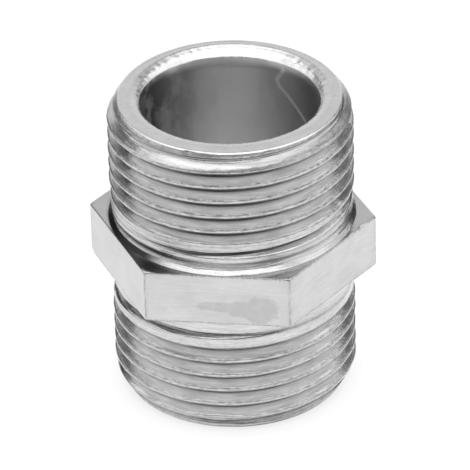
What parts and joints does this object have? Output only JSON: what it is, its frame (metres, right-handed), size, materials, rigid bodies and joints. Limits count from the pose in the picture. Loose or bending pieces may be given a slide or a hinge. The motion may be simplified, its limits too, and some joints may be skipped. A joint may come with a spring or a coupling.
{
  "type": "hex nipple",
  "caption": "Hex nipple pipe fitting in plated metal: parallel pipe thread outside each end, wrench hexagon between them, and a straight open bore from end to end.",
  "frame": {"origin": "on the bore axis, half way up the hexagon and half way between the end faces", "axes": "+Z along the bore towards the upper end; two corners of the hexagon on the X axis, two flats facing -Y and +Y"},
  "size_m": [0.0312, 0.027, 0.0346],
  "materials": {
    "plated_metal": "bright nickel plating over brass, lightly scuffed"
  },
  "bodies": {
    "root": {"nipple_body": "plated_metal"}
  },
  "joints": []
}
